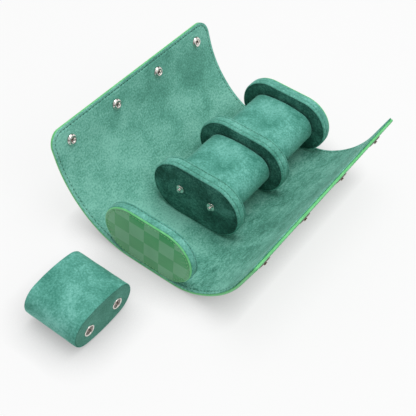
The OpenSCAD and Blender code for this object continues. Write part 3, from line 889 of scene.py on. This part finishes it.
def swell(obj, pinned):
    """Runs the cloth and applies it."""
    scene = bpy.context.scene
    group = obj.vertex_groups.new(name="held")
    group.add(pinned, 1.0, "REPLACE")
    cloth = obj.modifiers.new("swell", "CLOTH")
    cloth.settings.quality = 6
    cloth.settings.mass = 0.2
    cloth.settings.tension_stiffness = 25
    cloth.settings.compression_stiffness = 25
    cloth.settings.shear_stiffness = 10
    cloth.settings.bending_stiffness = 1.5
    cloth.settings.use_pressure = True
    cloth.settings.uniform_pressure_force = 4.0
    cloth.settings.vertex_group_mass = "held"
    cloth.settings.effector_weights.gravity = 0.0
    cloth.point_cache.frame_start = 1
    cloth.point_cache.frame_end = SWELL_FRAMES
    for f in range(1, SWELL_FRAMES + 1):
        scene.frame_set(f)
    shown = obj.evaluated_get(bpy.context.evaluated_depsgraph_get())
    moved = [v.co.copy() for v in shown.data.vertices]
    obj.modifiers.remove(cloth)
    for v, co in zip(obj.data.vertices, moved):
        v.co = co
    scene.frame_set(1)
    obj.vertex_groups.clear()


def pillow_pattern():
    """A foam block sewn into suede: a sleeve and two end panels that meet in a seam. Cloth under light
    pressure gives it its swell, and the seams and the cloth under the snaps are held."""
    end_insets = (15.2, 13.0, 10.8, 8.6, 6.6, 4.8, 3.4, 2.4, 1.7, 1.25)
    seam = ((-0.8, 1.1), (-1.0, 0.85), (-0.5, 0.68), (-0.06, 0.48), (-0.2, 0.2), (-0.5, 0.04))
    sleeve = (0.9, 1.8, 3.2, 5.0, 7.2, 9.6, 12.0, 14.4, 16.8, 19.2, 21.6, 24.0)
    side = [(HALF_L - 0.15, inset) for inset in end_insets]
    side += stretch(HALF_L, seam)
    side += [(HALF_L - d, 0.0) for d in sleeve]
    profile = [(-x, inset) for x, inset in side] + [(0.0, 0.0)] + side[::-1]
    first_sleeve, last_sleeve = len(end_insets) + 1, len(profile) - len(end_insets) - 3

    def place(i, j):
        x, inset = profile[j]
        y, z = pillow_outline(i, inset + SWELL_ROOM)
        return Vector((x, y, z)), (y * MM, z * MM, x * MM)

    bm = lofted(AROUND, len(profile) - 1, place, lambda i, j: 0 if first_sleeve <= j <= last_sleeve else 1)
    bmesh.ops.triangulate(bm, faces=[f for f in bm.faces if len(f.verts) > 4])
    centres = {f: f.calc_center_median() for f in bm.faces}
    bores = [f for f, at in centres.items() if at.x > 0 and off_socket(at) < BORE_R]
    bmesh.ops.delete(bm, geom=bores, context="FACES")
    pinned = []
    for n, v in enumerate(bm.verts):
        in_seam = abs(v.co.x) > HALF_L - 1.2 and inset_of(v.co) < 1.6
        if in_seam or off_socket(v.co) < HELD_R:
            pinned.append(n)
    obj = finished("pillow_pattern", bm, [PILLOW, PILLOW_END], "pillow_suede")
    rest = [v.co.copy() for v in obj.data.vertices]
    swell(obj, pinned)
    cap = SWELL_CAP * MM
    for v, start in zip(obj.data.vertices, rest):
        moved = v.co - start
        if moved.length > cap:
            v.co = start + moved * (cap / moved.length)
    return obj


def put_pillow(source, prefix, matrix, seed):
    """A copy of the pillow in its place, with its own dents, and flat where it rests on the floor."""
    obj = source.copy()
    obj.data = source.data.copy()
    obj.name = f"{prefix}_body"
    obj.data.name = f"{prefix}_body"
    bpy.context.scene.collection.objects.link(obj)
    normals = [v.normal.copy() for v in obj.data.vertices]
    for v, n in zip(obj.data.vertices, normals):
        p = v.co / MM
        calm = rising(HALF_L - abs(p.x), 0.0, 4.0)
        dent = 0.35 * soft_noise(*p, 17.0, seed) + 0.12 * soft_noise(*p, 6.0, seed + 4)
        v.co += n * dent * calm * MM
    obj.data.transform(Matrix.Scale(MM, 4) @ matrix @ Matrix.Scale(1 / MM, 4))
    for v in obj.data.vertices:
        v.co.z = max(v.co.z, 0.0)
    obj.data.update()
    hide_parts(f"{prefix}_sleeve", f"{prefix}_ends")
    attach(obj, prefix)


SEATS = {
    "middle_pillow": Matrix.Translation((DIVIDER_B_FACE - STAND_OFF - HALF_L, 0, MID_Z)),
    "far_pillow": Matrix.Translation((FAR_CAP_FACE - STAND_OFF - HALF_L, 0, MID_Z)),
    "near_pillow": Matrix.Translation((-EDGE_X - LOOSE_GAP - HALF_W, LOOSE_Y, HALF_H))
    @ Matrix.Rotation(math.radians(-90), 4, "Z")
    @ Matrix.Rotation(math.pi, 4, "X"),
}
pattern = pillow_pattern()
for (prefix, seat), seed in zip(SEATS.items(), (1.3, 7.9, 12.4)):
    put_pillow(pattern, prefix, seat, seed)
bpy.data.objects.remove(pattern)

# snaps


def turned(outline, matrix, material=0):
    """A solid of revolution: the outline runs (radius, height) from the axis back to the axis."""
    bm = bmesh.new()
    made = [bm.verts.new((r, 0.0, h)) for r, h in outline]
    edges = [bm.edges.new(pair) for pair in zip(made, made[1:])]
    bmesh.ops.spin(
        bm, geom=made + edges, cent=(0, 0, 0), axis=(0, 0, 1), angle=2 * math.pi, steps=40, use_merge=True
    )
    bmesh.ops.remove_doubles(bm, verts=bm.verts, dist=1e-3)
    bmesh.ops.recalc_face_normals(bm, faces=bm.faces)
    for f in bm.faces:
        f.material_index = material
    bmesh.ops.transform(bm, matrix=matrix, verts=bm.verts)
    return bm


def spring_bars(length, apart, height, matrix):
    """The two round bars of wire across a socket's bore."""
    bars = []
    for side in (-1, 1):
        upright = matrix @ Matrix.Translation((0, side * apart, height))
        lying = upright @ Matrix.Rotation(math.pi / 2, 4, "Y")
        bm = bmesh.new()
        bmesh.ops.create_cone(
            bm, segments=10, radius1=BAR_R, radius2=BAR_R, depth=length, cap_ends=True, matrix=lying
        )
        bars.append(bm)
    return bars


def gathered(parts):
    """One bmesh from several."""
    whole = bmesh.new()
    for part in parts:
        mesh = bpy.data.meshes.new("part")
        part.to_mesh(mesh)
        part.free()
        whole.from_mesh(mesh)
        bpy.data.meshes.remove(mesh)
    return whole


def metal_piece(name, parts, nodes, body):
    """Snap parts joined as one piece that rides on a body."""
    obj = finished(name, gathered(parts), [NICKEL, BORE], "snap_metal")
    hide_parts(*nodes)
    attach(obj, body)


# the closing snaps' distances from the stack's ends and from the lips
SNAP_END, SNAP_IN = 20.5, 15.0
SNAP_X = [(i - 1.5) * (STACK_L - 2 * SNAP_END) / 3 for i in range(4)]
BAR_R = 0.22
# outlines of the turned snap parts, as (radius, height) above the surface that they are set in
SOCKET = (
    (0.0, 0.5), (2.0, 0.5), (2.3, 0.8), (2.35, 1.9), (2.6, 2.3), (3.15, 2.5), (3.9, 2.3), (4.55, 1.75),
    (5.0, 1.0), (5.2, 0.45), (5.2, 0.0), (0.0, 0.0),
)
SOCKET_FLOOR = ((0.0, 0.62), (2.1, 0.62), (2.1, 0.52), (0.0, 0.52))
STUD_PLATE = (
    (0.0, -2.4), (1.2, -2.4), (1.2, -0.1), (5.9, -0.1), (6.15, 0.3), (6.15, 0.85), (5.85, 1.15), (4.9, 1.1),
    (4.3, 0.9), (3.9, 0.7), (0.0, 0.7),
)
STUD_KNOB = (
    (0.0, 0.6), (1.6, 0.6), (1.45, 0.9), (1.45, 1.7), (1.75, 2.05), (1.8, 2.4), (1.4, 2.75), (0.0, 2.8),
)
PILLOW_STUD = (
    (0.0, 0.0), (4.0, 0.0), (4.05, 0.25), (3.7, 0.55), (2.9, 0.75), (2.1, 0.85), (1.5, 1.0), (1.4, 1.6),
    (1.75, 2.1), (1.8, 2.7), (1.3, 3.15), (0.0, 3.2),
)
RING = (
    (3.7, -0.3), (4.0, 0.2), (4.4, 0.48), (4.8, 0.48), (5.15, 0.3), (5.3, 0.0), (5.3, -0.8), (3.7, -0.8),
    (3.7, -0.3),
)
DISH = (
    (0.0, -2.2), (2.2, -2.2), (2.2, -0.1), (2.35, 0.04), (2.7, 0.14), (3.3, 0.1), (3.75, 0.0), (3.75, -0.9),
    (2.6, -0.9), (2.6, -2.5), (0.0, -2.5),
)


def flap_sockets():
    """Domed sockets along the flap, each with two spring bars across its bore."""
    parts = []
    for x in SNAP_X:
        at = wrap_frame(x, FLAP_L - SNAP_IN, 0.0, 0.0, 1)
        parts.append(turned(SOCKET, at))
        parts += spring_bars(3.3, 1.8, 1.95, at)
        parts.append(turned(SOCKET_FLOOR, at, 1))
    metal_piece("flap_socket_domes", parts, ["flap_sockets"], "flap_panel_4")


def front_studs():
    """Studs along the front, on the leather."""
    parts = []
    for x in SNAP_X:
        at = wrap_frame(x, SNAP_IN - FRONT_L, 0.0, WRAP_T, -1)
        # the plate is in the darkened nickel: a painted dark reflection on the plate
        parts.append(turned(STUD_PLATE, at, 1))
        parts.append(turned(STUD_KNOB, at))
    metal_piece("front_stud_knobs", parts, ["front_studs", "front_stud_posts"], "front_panel_4")


def pillow_studs():
    """Studs in pairs on the faces that the pillows snap on to."""
    facing = Matrix.Rotation(-math.pi / 2, 4, "Y")
    parts = []
    for x in (DIVIDER_A_FACE, DIVIDER_B_FACE, FAR_CAP_FACE):
        for side in (-1, 1):
            at = Matrix.Translation((x, side * SNAP_GAP / 2, MID_Z + SNAP_RISE)) @ facing
            parts.append(turned(PILLOW_STUD, at))
    metal_piece("pillow_stud_knobs", parts, ["pillow_studs"], "wrap_base")


def pillow_sockets(prefix, matrix):
    """Sockets in a pillow's end: a rolled ring round a bore with two spring bars."""
    facing = Matrix.Rotation(math.pi / 2, 4, "Y")
    parts = []
    for side in (-1, 1):
        at = matrix @ Matrix.Translation((HALF_L, side * SNAP_GAP / 2, SNAP_RISE)) @ facing
        parts.append(turned(RING, at))
        parts.append(turned(DISH, at, 1))
        parts += spring_bars(2.8, 1.75, -0.05, at)
    metal_piece(f"{prefix}_socket_rings", parts, [f"{prefix}_sockets"], prefix)


flap_sockets()
front_studs()
pillow_studs()
for prefix, seat in SEATS.items():
    pillow_sockets(prefix, seat)

# what the CAD nodes that stay are made of

HIDDEN = {"foam": FIBRE, "board": BOARD, "posts": NICKEL}
for name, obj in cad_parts.items():
    material = HIDDEN.get(name.rsplit("_", 1)[-1])
    if material:
        obj.data.materials.clear()
        obj.data.materials.append(material)

# floor, light and camera

FLOOR_DROP = 0.0002
TARGET = Vector((-21.15, -0.85, 3.5))
AZIMUTH, ELEVATION, ROLL = math.radians(-57.677), math.radians(48.053), math.radians(5.391)
DISTANCE = 774.66
LENS, SENSOR = 75.78, 36.0


def white_paper(name):
    """White seamless paper. The camera sees it near white, with the roll's faint shadow, and a painted shadow
    darkest where the roll touches it.
    """
    material, tree = new_material(name)
    path = add(tree, "ShaderNodeLightPath")
    paper = add(tree, "ShaderNodeBsdfDiffuse", {"Color": grey(0.8)})
    pale = add(tree, "ShaderNodeBsdfDiffuse", {"Color": grey(0.16)})
    # ambient occlusion dims the glow near the roll: painted shadow where it touches the paper
    painted_contact_shade = add(tree, "ShaderNodeAmbientOcclusion", {"Distance": 0.03}, samples=8)
    strength = ranged(tree, painted_contact_shade.outputs["AO"], (0.0, 1.0), (0.2, 0.77))
    glow = add(tree, "ShaderNodeEmission", {"Color": grey(1.0), "Strength": strength})
    both = add(tree, "ShaderNodeAddShader", {0: pale.outputs[0], 1: glow.outputs[0]})
    seen = worked_out(tree, "MAXIMUM", path.outputs["Is Camera Ray"], path.outputs["Is Glossy Ray"])
    shade = add(tree, "ShaderNodeMixShader", {0: seen, 1: paper.outputs[0], 2: both.outputs[0]})
    add(tree, "ShaderNodeOutputMaterial", {"Surface": shade.outputs[0]})
    return material


def paper_floor():
    """A wide sheet just under the roll."""
    bm = bmesh.new()
    bmesh.ops.create_grid(bm, x_segments=1, y_segments=1, size=3.0)
    mesh = bpy.data.meshes.new("paper_floor")
    bm.to_mesh(mesh)
    bm.free()
    mesh.materials.append(white_paper("white_paper"))
    floor = bpy.data.objects.new("paper_floor", mesh)
    floor.location.z = -FLOOR_DROP
    bpy.context.scene.collection.objects.link(floor)


def studio_world():
    """A white room. What mirrors it sees soft panels of light and dark."""
    world = bpy.data.worlds.new("studio")
    bpy.context.scene.world = world
    world.use_nodes = True
    tree = world.node_tree
    tree.nodes.clear()
    path = add(tree, "ShaderNodeLightPath")
    bearing = add(tree, "ShaderNodeTexCoord").outputs["Generated"]
    panels = add(tree, "ShaderNodeTexNoise", {"Vector": bearing, "Scale": 1.6, "Detail": 1.0}).outputs["Fac"]
    mirrored = ranged(tree, panels, (0.4, 0.58), (0.04, 1.1))
    light, room, seen = (
        add(tree, "ShaderNodeBackground", {"Color": grey(1.0), "Strength": strength}).outputs[0]
        for strength in (0.7, mirrored, 0.95)
    )
    lit = add(tree, "ShaderNodeMixShader", {0: path.outputs["Is Glossy Ray"], 1: light, 2: room})
    shown = add(tree, "ShaderNodeMixShader", {0: path.outputs["Is Camera Ray"], 1: lit.outputs[0], 2: seen})
    add(tree, "ShaderNodeOutputWorld", {"Surface": shown.outputs[0]})


def softbox(name, place, size, power):
    """A round soft light aimed at the roll."""
    aim = Vector((-0.03, 0.0, 0.03))
    data = bpy.data.lights.new(name, "AREA")
    data.shape = "DISK"
    data.size = size
    data.energy = power
    obj = bpy.data.objects.new(name, data)
    obj.location = place
    obj.rotation_mode = "QUATERNION"
    obj.rotation_quaternion = (aim - Vector(place)).to_track_quat("-Z", "Y")
    bpy.context.scene.collection.objects.link(obj)


def photo_camera():
    """The photograph's camera, turned about the point that it looks at."""
    level = math.cos(ELEVATION)
    back = Vector((math.sin(AZIMUTH) * level, -math.cos(AZIMUTH) * level, math.sin(ELEVATION)))
    right = Vector((0, 0, 1)).cross(back).normalized()
    rolled = right * math.cos(ROLL) + back.cross(right) * math.sin(ROLL)
    lens = bpy.data.cameras.new("camera")
    lens.lens = LENS
    lens.sensor_width = SENSOR
    camera = bpy.data.objects.new("camera", lens)
    camera.matrix_world = axes((TARGET + back * DISTANCE) * MM, rolled, back)
    bpy.context.scene.collection.objects.link(camera)
    bpy.context.scene.camera = camera


paper_floor()
studio_world()
softbox("key_softbox", (0.15, 0.0, 1.4), 1.0, 10.4)
softbox("front_softbox", (-0.1, -1.0, 1.2), 0.9, 3.2)
photo_camera()
bpy.context.scene.view_settings.view_transform = "Standard"
